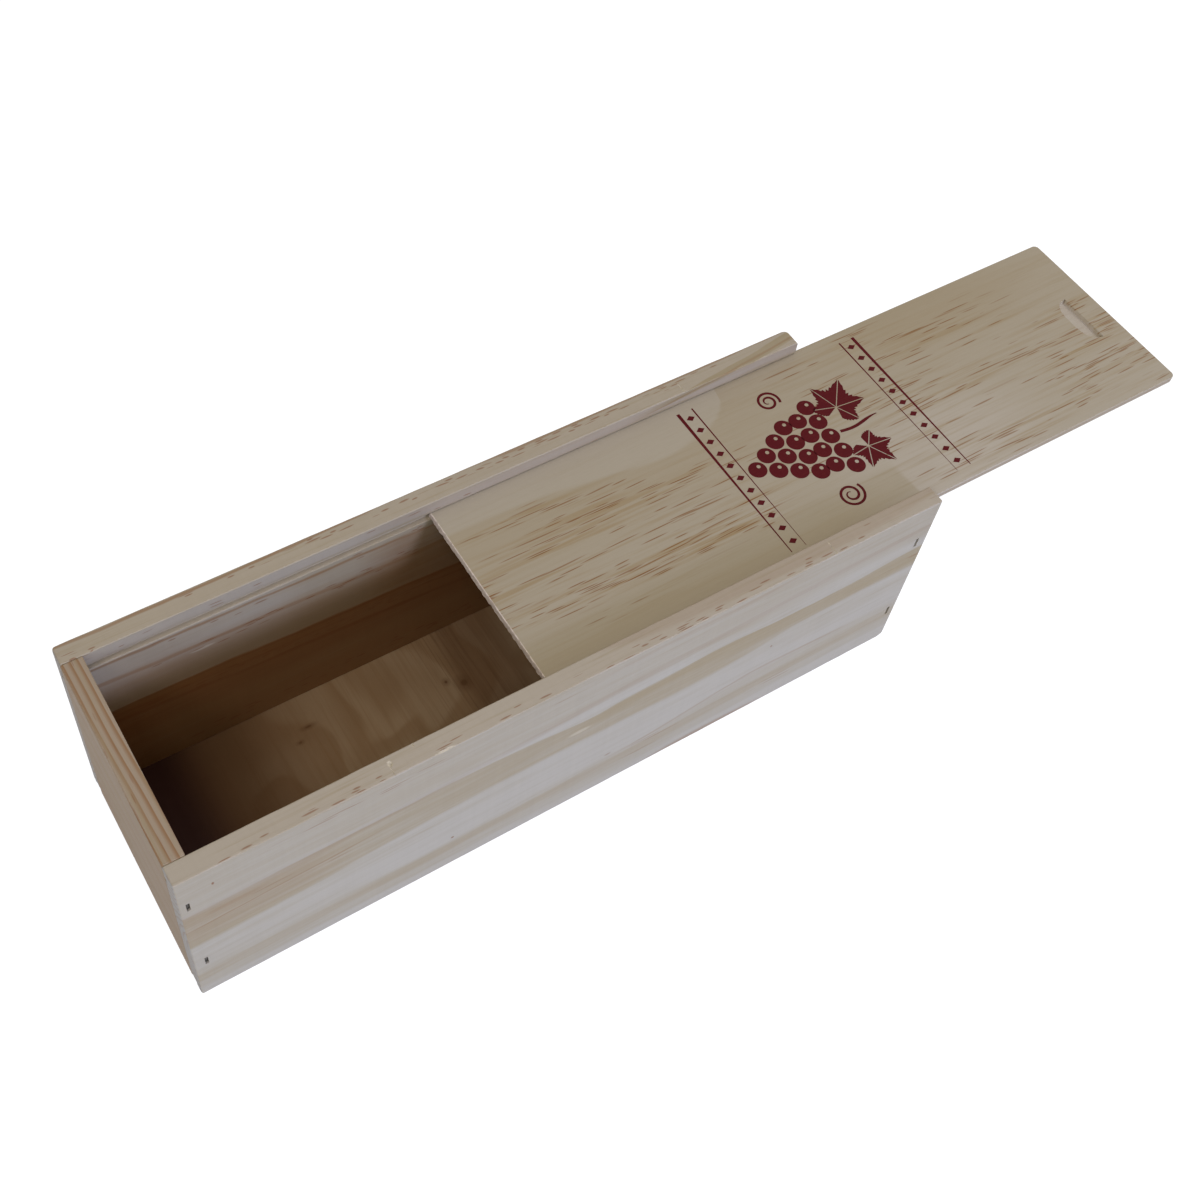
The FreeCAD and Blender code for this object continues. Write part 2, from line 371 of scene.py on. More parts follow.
def round_ends(vertices, node, outer):
    """Round a side board's outer, upper and lower corners at its closed and its open end."""
    for vertex in vertices:
        x, y, z = vertex.co / MM
        shares = (1 - abs(y - outer) / BOARD, max(0, (z - HEIGHT) / END_DROP + 1),
                  max(0, 1 - z / END_DROP))
        gives = []
        for radius, share in zip(END_RADII[node][x > 0], shares):
            reach = max(0, (abs(x) - HALF_LENGTH) / radius + 1)
            gives.append(radius * (1 - math.sqrt(max(0, 1 - reach * reach))) * share * MM)
        vertex.co.y -= math.copysign(gives[0], outer)
        vertex.co.z += gives[2] - gives[1]


def settled(piece, *tools):
    """The piece cut by other closed meshes, which go, with crisp edges marked."""
    for tool in tools:
        cut = piece.modifiers.new("cut", "BOOLEAN")
        cut.operation = "DIFFERENCE"
        cut.solver = "EXACT"
        cut.object = tool
    mesh = piece.data
    if tools:
        graph = bpy.context.evaluated_depsgraph_get()
        mesh = bpy.data.meshes.new_from_object(piece.evaluated_get(graph))
        piece.modifiers.clear()
        piece.data = mesh
        mesh.name = piece.name
    for tool in tools:
        bpy.data.objects.remove(tool)
    mesh.shade_smooth()
    mesh.set_sharp_from_angle(angle=SMOOTH_TURN)
    piece.modifiers.new("even shading", "WEIGHTED_NORMAL").keep_sharp = True
    return piece


def dress(piece, body, material, node=None):
    """Finish a piece: its material, the body it moves with and the part it stands for."""
    piece.data.materials.append(material)
    if node:
        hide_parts(node)
    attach(piece, body)


# ------------------------------------------------------- wear and fastenings

Gouge = namedtuple("Gouge", "place size")

TOP_NICKS = {
    "side_front": [
        Gouge((118.0, 3.4 - HALF_WIDTH, HEIGHT), (0.35, 3.6, 0.3)),
        Gouge((-87.5, 2.4 - HALF_WIDTH, HEIGHT), (0.25, 2.6, 0.25)),
        Gouge((-87.0, 5.4 - HALF_WIDTH, HEIGHT), (1.0, 1.3, 0.35)),
        Gouge((-76.0, 8.6 - HALF_WIDTH, HEIGHT), (0.3, 1.4, 0.3)),
        Gouge((-66.5, -HALF_WIDTH, HEIGHT), (4.4, 0.9, 0.5)),
    ],
    "side_back": [
        Gouge((112.0, INNER_HALF_WIDTH + 2.4, HEIGHT), (0.35, 3.2, 0.3)),
    ],
    "end_closed": [],
    "end_open": [],
}
GOUGE_GRAIN = 1.7
GOUGE_ROUGHNESS = 0.3


def gouge_tool(gouge):
    """A rough lump that takes a nick out of a board."""
    centre, size = Vector(gouge.place) * MM, Vector(gouge.size) * MM
    shape = Matrix.Translation(centre) @ Matrix.Diagonal((*size, 1))
    builder = bmesh.new()
    bmesh.ops.create_icosphere(builder, subdivisions=3, radius=1, matrix=shape)
    for vertex in builder.verts:
        rough = noise.noise(vertex.co / MM * GOUGE_GRAIN)
        vertex.co = centre + (vertex.co - centre) * (1 + GOUGE_ROUGHNESS * rough)
    return new_piece("gouge", builder)


Staple = namedtuple("Staple", "node crown leg out across low high")


def staple_of(node):
    """A staple's axes, from its part: its crown runs along one and its legs along another.

    Out is the way from the legs' points to the crown.
    """
    low, high = corners(node)
    across, crown, leg = sorted(range(3), key=lambda i: high[i] - low[i])
    out = -1 if node.startswith(("staple_front", "staple_bottom")) else 1
    return Staple(node, crown, leg, out, across, low, high)


STAPLES = [staple_of(node) for node in sorted(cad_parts) if node.startswith("staple_")]
HOLE_REACH = 2.5


def staple_outline(staple, point, slack=0.0, reach=0.0):
    """A staple, or the hole it sits in, seen square on."""
    own = settings().staples
    wire, bend = own.wire / MM, own.bend / MM
    half = (staple.high[staple.crown] - staple.low[staple.crown]) / 2 + slack
    leg = staple.high[staple.leg] - staple.low[staple.leg]
    inner = half - wire - 2 * slack
    bends = [(half - bend + bend * math.cos(a), reach - bend + bend * math.sin(a))
             for a in (math.pi / 2 * i / ARC_STEPS for i in range(ARC_STEPS + 1))]
    shoulder = [(half, -leg + point), (inner, -leg - slack), (inner, -wire - slack)]
    right = bends[::-1] + shoulder
    left = [(-x, z) for x, z in reversed(right)]
    middle = (staple.high[staple.crown] + staple.low[staple.crown]) / 2
    top = staple.high[staple.leg] if staple.out > 0 else staple.low[staple.leg]
    points = []
    for x, z in right + left:
        spot = [0.0, 0.0, 0.0]
        spot[staple.crown] = middle + x
        spot[staple.leg] = top + staple.out * z
        points.append(Vector([spot[i] for i in flat_axes(AXES[staple.across])]))
    return counter_clockwise(points)


def staple_hole(staple):
    """The tool that cuts a staple's hole, from its legs' tips out past the wood."""
    slack = settings().staples.slack / MM
    outline = staple_outline(staple, 0.0, slack, HOLE_REACH)
    low = staple.low[staple.across] - slack
    high = staple.high[staple.across] + slack
    return lofted("staple_hole", AXES[staple.across], [(low, outline), (high, outline)])


def holes_through(*words):
    """The tools for all the staples whose names hold all the words."""
    return [staple_hole(s) for s in STAPLES if all(word in s.node.split("_") for word in words)]


# --------------------------------------------------------------- materials

class Wiring:
    """A node tree being wired up, with a short call for each kind of node."""

    def __init__(self, owner):
        owner.use_nodes = True
        self.tree = owner.node_tree

    def feed(self, socket, value):
        """Link another node's output to a socket, or set the socket's own value."""
        if isinstance(value, bpy.types.NodeSocket):
            self.tree.links.new(value, socket)
        elif hasattr(value, "__len__") and socket.type == "RGBA":
            socket.default_value = (*value, 1)
        else:
            socket.default_value = value

    def node(self, kind, inputs, output=0, **choices):
        """The output of a new node, given its inputs by name or number."""
        node = self.tree.nodes.new(kind)
        for name, choice in choices.items():
            setattr(node, name, choice)
        for socket, value in inputs.items():
            self.feed(node.inputs[socket], value)
        return node.outputs[output]

    def maths(self, operation, *values):
        """One sum. The usual ones have short names, and fit multiplies first and then adds."""
        return self.node("ShaderNodeMath", dict(enumerate(values)), operation=operation)

    plus = partialmethod(maths, "ADD")
    minus = partialmethod(maths, "SUBTRACT")
    times = partialmethod(maths, "MULTIPLY")
    over = partialmethod(maths, "DIVIDE")
    fit = partialmethod(maths, "MULTIPLY_ADD")

    def mix(self, factor, first, second, blend="MIX"):
        """Two colours mixed."""
        return self.node("ShaderNodeMix", {0: factor, 6: first, 7: second}, output=2,
                         data_type="RGBA", blend_type=blend)

    def seen(self):
        """1 for a ray from the camera, from a gloss or through glass."""
        rays = self.tree.nodes.new("ShaderNodeLightPath").outputs
        glossy = self.maths("MAXIMUM", rays["Is Camera Ray"], rays["Is Glossy Ray"])
        return self.maths("MAXIMUM", glossy, rays["Is Transmission Ray"])


DASH_SHIFT = 9
DASH_HALF = (0.32, 0.18)
DASH_HALF_WIDTH = 0.42


class Finish(Wiring):
    """The finish of a piece: tones laid one over another, by the place in millimetres."""

    def __init__(self, name):
        self.material = bpy.data.materials.new(name)
        super().__init__(self.material)
        self.shader = self.tree.nodes["Principled BSDF"]
        metres = self.node("ShaderNodeTexCoord", {}, output="Object")
        self.place = self.vectors("MULTIPLY", metres, (1 / MM, 1 / MM, 1 / MM))
        split = self.tree.nodes.new("ShaderNodeSeparateXYZ")
        self.feed(split.inputs[0], self.place)
        self.axes = split.outputs

    def vectors(self, operation, *values, output="Vector"):
        """One sum of vectors."""
        return self.node("ShaderNodeVectorMath", dict(enumerate(values)), output,
                         operation=operation)

    def spot(self, *numbers):
        """A point from its coordinates."""
        return self.node("ShaderNodeCombineXYZ", dict(enumerate(numbers)))

    def noise(self, factors, detail=2.0, roughness=0.5, distortion=0.0):
        """Soft noise between 0 and 1, with so many waves to a millimetre along each axis."""
        return self.node("ShaderNodeTexNoise", {
            "Vector": self.vectors("MULTIPLY", self.place, factors), "Scale": 1.0,
            "Detail": detail, "Roughness": roughness, "Distortion": distortion})

    def rise(self, value, low, high, start=0.0, stop=1.0):
        """A smooth step from start to stop while a value goes from low to high."""
        return self.node("ShaderNodeMapRange", {"Value": value, "From Min": low, "From Max": high,
                                                "To Min": start, "To Max": stop},
                         interpolation_type="SMOOTHSTEP")

    def fall(self, value, low, high):
        """A smooth step from 1 down to 0."""
        return self.rise(value, low, high, 1.0, 0.0)

    def curve(self, value, points, span, low, high):
        """A line through (place, level) points, read at a place."""
        node = self.tree.nodes.new("ShaderNodeFloatCurve")
        self.feed(node.inputs["Value"], self.over(value, span))
        knots = node.mapping.curves[0].points
        while len(knots) < len(points):
            knots.new(0.5, 0.5)
        for knot, (place, level) in zip(knots, sorted(points)):
            knot.location = (place / span, (level - low) / (high - low))
        node.mapping.update()
        return self.fit(node.outputs[0], high - low, low)

    def between(self, value, low, high, fade_low, fade_high):
        """1 between two levels, fading outside them."""
        above = self.rise(value, self.minus(low, fade_low), low)
        below = self.fall(value, high, self.plus(high, fade_high))
        return self.times(above, below)

    def blot(self, spot, centre, radii, soft=0.4):
        """1 in the middle of an ellipse, fading across its rim."""
        ratio = self.vectors("DIVIDE", self.vectors("SUBTRACT", spot, centre), radii)
        return self.fall(self.vectors("LENGTH", ratio, output="Value"), 1 - soft, 1 + soft)

    def within(self, spot, zone):
        """1 in the middle of a zone, fading across its rim."""
        return self.blot(spot, (zone.along, zone.across, 0), (zone.half_along, zone.half_across, 1))

    def thickness(self, spot, base, zones):
        """How thick the dashes lie: a base level, and more in some zones."""
        level = base
        for zone in zones:
            inside = self.times(self.within(spot, zone), zone.strength)
            level = self.maths("MAXIMUM", level, inside)
        return level

    def dice(self, *numbers):
        """A number between 0 and 1 that stays the same for the same numbers."""
        return self.node("ShaderNodeTexWhiteNoise", {"Vector": self.spot(*numbers)}, "Value")

    def dashes(self, along, across, thickness, length, pitch):
        """Tapered dashes in lanes along the grain; the thickness is how many places they take."""
        lane = self.over(across, pitch)
        row = self.maths("FLOOR", lane)
        run = self.plus(self.over(along, length), self.times(self.dice(row, 0.5), DASH_SHIFT))
        cell = self.maths("FLOOR", run)
        half = self.fit(self.dice(cell, row, 1.5), *DASH_HALF)
        offset = self.spot(self.over(self.minus(self.maths("FRACT", run), 0.5), half),
                           self.over(self.minus(self.maths("FRACT", lane), 0.5), DASH_HALF_WIDTH))
        distance = self.vectors("LENGTH", offset, output="Value")
        taken = self.rise(self.minus(thickness, self.dice(cell, row)), 0.0, 0.08)
        return self.times(taken, self.fall(distance, 0.5, 1.0))

    def late_wood(self, years, low, high, sharp):
        """The late wood of growth rings: it rises slowly through each year and ends sharply."""
        year = self.maths("FRACT", years)
        return self.times(self.rise(year, low, high), self.fall(year, sharp, 1.0))

    def lay(self, tone, *factors):
        """Lay a tone over the colour so far, as strongly as the factors' product."""
        strength = factors[0]
        for factor in factors[1:]:
            strength = self.times(strength, factor)
        self.colour = self.mix(strength, self.colour, tone)

    def shade(self, value, swing):
        """Darken and lighten the colour so far as a value swings about a half."""
        factor = self.fit(value, swing, 1 - swing / 2)
        grey = self.node("ShaderNodeCombineColor", {0: factor, 1: factor, 2: factor})
        self.colour = self.mix(1.0, self.colour, grey, "MULTIPLY")

    def close(self, roughness, relief, depth, specular=0.25):
        """Join the colour, the roughness and the relief to the shader."""
        bump = self.node("ShaderNodeBump",
                         {"Height": relief, "Strength": 0.4, "Distance": depth * MM})
        for name, value in (("Base Color", self.colour), ("Roughness", roughness),
                            ("Specular IOR Level", specular), ("Normal", bump)):
            self.feed(self.shader.inputs[name], value)
        return self.material

    def planed(self, streaks, fibres, depth):
        """Close as planed wood, where the streaks are a little proud and a little rougher."""
        relief = self.fit(streaks, 0.6, fibres)
        return self.close(self.fit(streaks, 0.25, 0.5), relief, depth)


Band = namedtuple("Band", "low high fade_low fade_high strength tone reach", defaults=[None])
Zone = namedtuple("Zone", "along across half_along half_across strength tone", defaults=["fleck"])
GIRTH = 2 * HEIGHT + BOARD
GIRTH_TOP = 300


def line(start, stop):
    """A straight line of (place, level) points from the closed end to the open end."""
    return [(0, start), (2 * HALF_LENGTH, stop)]


def stripe(points, width, fade, strength, tone="fleck", reach=None):
    """A narrow band along a line of (place, level) points."""
    low = [(place, level - width / 2) for place, level in points]
    high = [(place, level + width / 2) for place, level in points]
    return Band(low, high, fade, fade, strength, tone, reach)


Board = namedtuple("Board", "node outer bands zones marks")
SIDE_BOARDS = [
    Board("side_front", -HALF_WIDTH, [
        Band([(0, 49), (35, 50), (100, 55), (240, 56), (300, 61), (350, 60)],
             [(0, 75.5), (100, 74.5), (150, 73), (178, 69), (240, 72), (290, 69.5), (330, 72)],
             4, 1.5, 0.75, "latewood"),
        Band([(150, 67), (350, 65)], [(178, 69), (240, 72), (290, 69.5), (330, 72)],
             8, 1.5, 0.75, "latewood", (190, 400)),
        Band([(0, 55), (80, 58)], [(0, 74), (80, 72)], 8, 3, 0.18, "ring", (-30, 45)),
        Band([(0, 9), (175, 9), (350, 14)], [(0, 24), (200, 22), (265, 30), (350, 28)],
             4, 4, 0.32, "latewood"),
        Band(line(80, 84), line(104.5, 104.5), 6, 0.5, 0.4, "latewood"),
        stripe([(0, 17), (175, 18), (350, 22)], 4, 3, 0.4, "latewood"),
        stripe([(0, 76.5), (100, 76), (180, 81), (350, 89)], 0.8, 3, 0.14),
        stripe([(0, 62), (75, 65.5)], 0.3, 0.5, 0.6, "ring", (12, 60)),
        stripe([(180, 24), (215, 26), (262, 33), (307, 32.5)], 0.5, 1.2, 0.3, "ring", (210, 300)),
        stripe([(190, 100), (350, 103)], 1.0, 1.5, 0.2, "ring", (200, 260)),
        Band([(0, 116), (175, 115), (200, 111.5), (350, 111)], line(118, 116),
             2.5, 1.0, 0.25, "ring", (190, 400)),
        # Painted shade: the inner face turns warm brown below about the lid's height, as deep
        # inside the box.
        Band(line(146, 150), line(300, 300), 22, 5, 0.55, "inner"),
    ], [
        Zone(85, 99, 75, 3, 0.3), Zone(150, 106.8, 150, 1.6, 0.42), Zone(300, 108.5, 60, 2.4, 0.18),
        Zone(30, 64, 40, 4, 0.2), Zone(325, 66, 30, 4, 0.2), Zone(240, 20, 110, 9, 0.08),
    ], [
        Zone(172, 63, 5, 1.2, 0.4, "torn"), Zone(245, 1, 28, 2.6, 0.4, "ring"),
        Zone(14, 93, 0.5, 0.9, 0.8), Zone(114, 25, 0.7, 0.6, 0.8), Zone(190, 27, 1.6, 0.6, 0.4),
        Zone(272, 50, 0.5, 0.8, 0.5), Zone(20, 70, 12, 1.6, 0.25, "ring"),
    ]),
    Board("side_back", HALF_WIDTH, [
        Band(line(114.3, 114.3), line(165, 165), 0.3, 4, 0.95, "edge"),
        Band(line(114.3, 114.3), line(121, 121), 0.3, 1, 0.2, "ring", (150, 400)),
        Band(line(121, 121), line(165, 165), 2, 4, 0.35, "latewood"),
        Band(line(121, 121), line(165, 165), 2, 4, 0.5, "latewood", (110, 400)),
        Band(line(100, 100), line(114.5, 114.5), 1, 0.5, 0.28, "latewood"),
        stripe([(0, 105.6), (100, 105.6), (290, 105.2), (350, 105)], 0.6, 0.8, 0.7, "ring"),
        Band([(0, 130), (280, 115), (350, 106.8)], [(0, 131), (280, 118), (350, 111)],
             0.6, 0.8, 0.9, "latewood", (285, 400)),
        stripe([(280, 117.6), (350, 110)], 0.4, 0.6, 0.45, "ring", (285, 400)),
        # Painted shade: reddish brown where the lid's edge shades the inner face.
        Band(line(132, 130), line(163, 172), 6, 3, 0.55, "ring", (150, 400)),
        Band(line(138, 138), line(163, 172), 6, 3, 0.15, "fleck", (150, 400)),
        stripe(line(126.5, 133), 0.5, 1.0, 0.7, "ring"),
        stripe(line(138.5, 150), 0.6, 1.6, 0.65, "ring"),
        # Painted shade: the inner face turns warm brown deep in the box, partly the browner wood
        # below a grain line.
        Band(line(148, 156), line(300, 300), 16, 5, 0.5, "inner"),
        Band([(0, 162.5), (60, 163), (160, 167), (350, 174)], line(300, 300), 2, 5, 0.9, "inner"),
        stripe([(0, 162), (60, 163), (160, 167), (350, 174)], 0.7, 1.0, 0.7),
        stripe([(0, 169), (160, 180), (350, 190)], 0.5, 1.6, 0.6),
        stripe([(0, 165), (160, 172), (350, 181)], 0.4, 1.2, 0.45),
        # Painted shade, together with the ring lines there: darker brown low on the inner face.
        Band(line(163, 174), line(178, 189), 3, 12, 0.4, "fleck"),
        # Painted shade in the corner by the closed end, low on the inner face.
        Band(line(172, 172), line(300, 300), 10, 5, 0.5, "fleck", (-30, 12)),
        Band(line(30, 36), line(52, 50), 6, 2, 0.6, "latewood"),
        stripe([(0, 74), (175, 70), (350, 60)], 1.0, 2.0, 0.3),
    ], [
        Zone(180, 107.8, 120, 1.5, 0.65), Zone(5, 113, 8, 2, 0.7), Zone(150, 118, 160, 2.5, 0.15),
        Zone(150, 129, 170, 2.5, 0.3), Zone(150, 143, 170, 3.5, 0.3),
        Zone(150, 170, 170, 4, 0.35), Zone(120, 207, 120, 3.0, 0.35),
        Zone(90, 78, 90, 6, 0.2), Zone(230, 24, 110, 8, 0.2),
    ], [
        Zone(55, 144.5, 5, 0.8, 0.5, "torn"), Zone(31, 168, 6, 0.9, 0.5),
    ]),
]
END_BOARDS = {"end_closed": -HALF_LENGTH, "end_open": HALF_LENGTH}
TOP_FADE = (HEIGHT - 0.5, HEIGHT - 0.15)
GROOVE_SHADE = (95.2, 96.6)
END_RING = 3.1
SHORT_DASH = (9, 1.0)
LONG_DASH = (26, 0.7)


def side_pine(board):
    """Pine of a long board: bands round its girth, fibres, resin dashes, end grain and nicks, with
    painted shade low on the inner face and painted light and shade in the groove.

    The girth runs up the outer face, over the top and down the inner face.
    """
    own = settings().timber
    finish = Finish(f"pine_{board.node}")
    x, y, z = finish.axes
    along = finish.plus(x, HALF_LENGTH)
    depth = finish.maths("ABSOLUTE", finish.minus(y, board.outer))
    below_top = finish.fall(z, HEIGHT - 0.7, HEIGHT - 0.3)
    inner = finish.times(finish.rise(depth, BOARD - 0.6, BOARD - 0.3), below_top)
    outside = finish.plus(z, depth)
    girth = finish.fit(inner, finish.minus(finish.minus(GIRTH, z), outside), outside)
    wander = finish.noise((0.015, 0.06, 0.06), 3, 0.6)
    level = finish.fit(finish.minus(wander, 0.5), 5, girth)
    spot = finish.spot(along, girth)
    top = finish.rise(z, *TOP_FADE)

    finish.colour = own.sapwood
    cloudy = finish.noise((0.01, 0.08, 0.08), 3, 0.6)
    patchy = finish.rise(finish.noise((0.02, 0.35, 0.35), 3, 0.6), 0.3, 0.65, 0.7, 1.0)
    finish.lay(own.latewood, finish.rise(cloudy, 0.45, 0.75), 0.3)
    finish.lay(own.edge, top, 0.9)
    # The groove is painted paler, partly as fresh cut wood and partly as painted light, and browner
    # towards its top as painted shade under the lip.
    groove_light_and_shade = finish.between(z, LID_LOW.z - 0.4, LID_HIGH.z + 0.6, 0.1, 0.1)
    groove_light_and_shade = finish.times(finish.times(groove_light_and_shade, finish.rise(depth, 1, 3)), finish.minus(1, inner))
    finish.lay(own.torn, groove_light_and_shade, 0.75)
    finish.lay(own.ring, groove_light_and_shade, finish.rise(z, *GROOVE_SHADE, 0.2, 0.55))
    for band in board.bands:
        low, high = (finish.curve(along, edge, 2 * HALF_LENGTH, 0, GIRTH_TOP)
                     for edge in (band.low, band.high))
        mask = finish.between(level, low, high, band.fade_low, band.fade_high)
        if band.reach:
            mask = finish.times(mask, finish.between(along, *band.reach, 30, 30))
        # The inner tone is painted shade, so it is laid evenly and not in patches.
        plain = band.tone == "inner"
        strength = band.strength if plain else finish.times(patchy, band.strength)
        finish.lay(getattr(own, band.tone), mask, strength)
    for mark in board.marks:
        finish.lay(getattr(own, mark.tone), finish.within(spot, mark), mark.strength)

    streaks = finish.noise((0.015, 0.6, 0.6), 3, 0.65)
    fibres = finish.noise((0.12, 5.0, 5.0), 2, 0.6)
    ripple = finish.noise((0.5, 0.03, 0.03), 2, 0.6)
    finish.lay(own.latewood, finish.rise(streaks, 0.5, 0.75), finish.fit(top, 0.3, 0.18))
    finish.shade(fibres, 0.12)
    finish.shade(ripple, 0.06)
    thickness = finish.thickness(spot, 0.02, board.zones)
    short = finish.times(thickness, finish.maths("MAXIMUM", top, inner))
    thin = finish.minus(thickness, short)
    finish.lay(own.fleck, finish.dashes(along, level, short, *SHORT_DASH), 0.6)
    finish.lay(own.fleck, finish.dashes(along, level, thin, *LONG_DASH), 0.55)

    ends = finish.rise(finish.maths("ABSOLUTE", x), HALF_LENGTH - 0.5, HALF_LENGTH - 0.15)
    section = finish.vectors("MULTIPLY", finish.place, (0, 1, 0.8))
    pith = finish.vectors("DISTANCE", section, (0, board.outer * 1.4, HEIGHT / 3), output="Value")
    ring = finish.rise(finish.maths("FRACT", finish.over(pith, END_RING)), 0.45, 0.95)
    finish.lay(own.end_grain, ends, 0.9)
    finish.lay(own.ring, ends, ring, 0.35)
    for gouge in TOP_NICKS[board.node]:
        finish.lay(own.torn, finish.blot(finish.place, gouge.place, gouge.size, 0.2))
    return finish.planed(streaks, finish.fit(ripple, 0.25, fibres), 0.12)


YEAR = 3.0


def end_pine(node):
    """Pine of a short board, its growth rings cut as soft stripes."""
    own = settings().timber
    finish = Finish(f"pine_{node}")
    x, y, z = finish.axes
    depth = finish.maths("ABSOLUTE", finish.minus(x, END_BOARDS[node]))
    wander = finish.noise((0.05, 0.012, 0.03))
    radial = finish.fit(z, 0.16, finish.fit(y, 0.036, depth))
    radial = finish.fit(wander, 3, radial)
    late = finish.late_wood(finish.over(radial, YEAR), 0.3, 0.88, 0.9)

    finish.colour = own.heartwood
    top = finish.rise(z, HEIGHT - 0.6, HEIGHT - 0.2)
    finish.lay(own.edge, top, 0.55)
    finish.lay(own.ring, late, 0.2)
    finish.lay(own.ring, late, top, 0.75)
    finish.lay(own.ring, top, 0.17)
    finish.lay(own.ring, finish.fall(z, 0, 45), finish.rise(y, -20, 50), 0.3)
    streaks = finish.noise((0.7, 0.015, 0.25), 3, 0.65)
    fibres = finish.noise((5.0, 0.12, 5.0), 2, 0.6)
    finish.lay(own.latewood, finish.rise(streaks, 0.45, 0.7), 0.6)
    finish.shade(fibres, 0.2)
    across = finish.plus(z, finish.plus(depth, wander))
    finish.lay(own.fleck, finish.dashes(y, across, 0.06, 14, 0.8), 0.5)
    return finish.planed(streaks, fibres, 0.12)


PLY = 1.05
TONGUE_SPAN = (-60, 60)
TONGUE = [(0, 34.5), (40, 33), (70, 29.5), (95, 25.7), (105, 25.2), (115, 26.5), (130, 30),
          (140, 35.7), (144, 40.7), (147, 52), (340, 60)]
LID_ZONES = [
    Zone(70, -4, 80, 27, 0.5), Zone(80, -18, 55, 9, 0.75), Zone(50, 27, 50, 4, 0.5),
    Zone(262, -20, 75, 28, 0.4), Zone(318, -18, 40, 28, 0.7), Zone(200, 14, 40, 14, 0.3),
    Zone(262, 22, 45, 14, 0.4), Zone(205, 40, 45, 7, 0.25),
]
VENEER_FIBRES = (0.12, 4.0, 4.0)
NOTCH_TONE = (6.5, 17, 2.1)
LID_DASHES = ((0.75, 22, 0.8, 0.75), (0.4, 36, 1.1, 0.65))


def lid_veneer():
    """The lid's peeled veneer: a pale tongue, a tan figure, resin dashes, ply edges, painted shadow
    along the front lip and painted shade at the thumb notch's wall.
    """
    own = settings().plywood
    finish = Finish("lid_veneer")
    x, y, z = finish.axes
    along = finish.minus(x, LID_LOW.x)
    spot = finish.spot(along, y)
    wander = finish.noise((0.008, 0.05, 0.05))
    across = finish.fit(finish.minus(wander, 0.5), 6, y)
    border = finish.curve(along, TONGUE, LID_HIGH.x - LID_LOW.x, *TONGUE_SPAN)
    tongue = finish.rise(finish.minus(across, border), -1.5, 1.5)
    # The strip along the front lip is painted shadow of that lip.
    strip = finish.fall(across, -39, -31)
    bare = finish.minus(1, finish.maths("MAXIMUM", tongue, strip))

    finish.colour = own.veneer
    tan = finish.rise(across, -20, 25, 0.3, 1.0)
    finish.lay(own.figure, bare, tan, finish.rise(along, 120, 190, 0.65, 0.45))
    # Painted shadow: the strip by the front lip, ending where the front board ends.
    finish.lay(own.figure, strip, finish.fall(along, 170, 200), 0.65)
    finish.lay(own.figure, finish.blot(spot, (262, 38, 0), (50, 16, 1), 0.6), 0.8)
    finish.lay(own.torn, finish.blot(spot, (215, -32, 0), (45, 26, 1), 0.6), 0.7)
    streaks = finish.noise((0.01, 0.35, 0.35), 4, 0.65)
    fibres = finish.noise(VENEER_FIBRES, 2, 0.6)
    dull = finish.minus(1, finish.times(tongue, 0.8))
    finish.lay(own.figure, finish.rise(streaks, 0.48, 0.7), dull, tan, 0.7)
    finish.shade(fibres, 0.12)
    clumps = finish.rise(finish.noise((0.014, 0.16, 0.16), 3), 0.4, 0.62, 0.2, 1.15)
    brown = finish.times(finish.thickness(spot, 0.04, LID_ZONES), clumps)
    halo = finish.noise((0.014, 0.5, 0.5), 3, 0.6)
    finish.lay(own.figure, finish.rise(halo, 0.5, 0.7), dull, 0.4)
    finish.lay(own.streak, finish.rise(halo, 0.42, 0.66), brown, dull, 0.9)
    for share, length, pitch, strength in LID_DASHES:
        dashes = finish.dashes(along, across, finish.times(brown, share), length, pitch)
        finish.lay(own.dash, dashes, dull, strength)

    core = finish.between(z, LID_LOW.z + PLY, LID_HIGH.z - PLY, 0.15, 0.15)
    pores = finish.noise((1.5, 1.5, 1.5), 3, 0.7)
    finish.lay(own.core, core, finish.rise(pores, 0.25, 0.75, 0.6, 1.0))
    finish.lay(own.lit_ply, finish.fall(along, 0.45, 0.8), finish.rise(pores, 0.3, 0.7, 1.0, 0.7))
    straight = LID_HIGH.x - NOTCH.setback
    centre = (straight - NOTCH.reach / 2, 0, LID_HIGH.z - NOTCH_TONE[2])
    notch = finish.blot(finish.place, centre, NOTCH_TONE, 0.05)
    finish.lay(own.torn, notch, finish.rise(pores, 0.2, 0.7, 1.0, 0.6))
    # Browner towards and on the steep wall: painted shade in the corner, partly the wall's own
    # tone.
    finish.lay(own.streak, notch, finish.rise(x, straight - 1.4, straight - 0.8), 0.3)
    return finish.planed(streaks, fibres, 0.1)


FLOOR_YEAR = 45
FLOOR_CORE = (0.9, 2.1)
FLOOR_KNOTS = [(90.5, 30.5, 1.5, 0.5), (84, 25, 0.8, 0.5), (162, 16.5, 1.5, 1.6),
               (155, 20.7, 0.7, 0.8)]
KNOT_RIMS = ((1, 0.7), (2.6, 0.35))


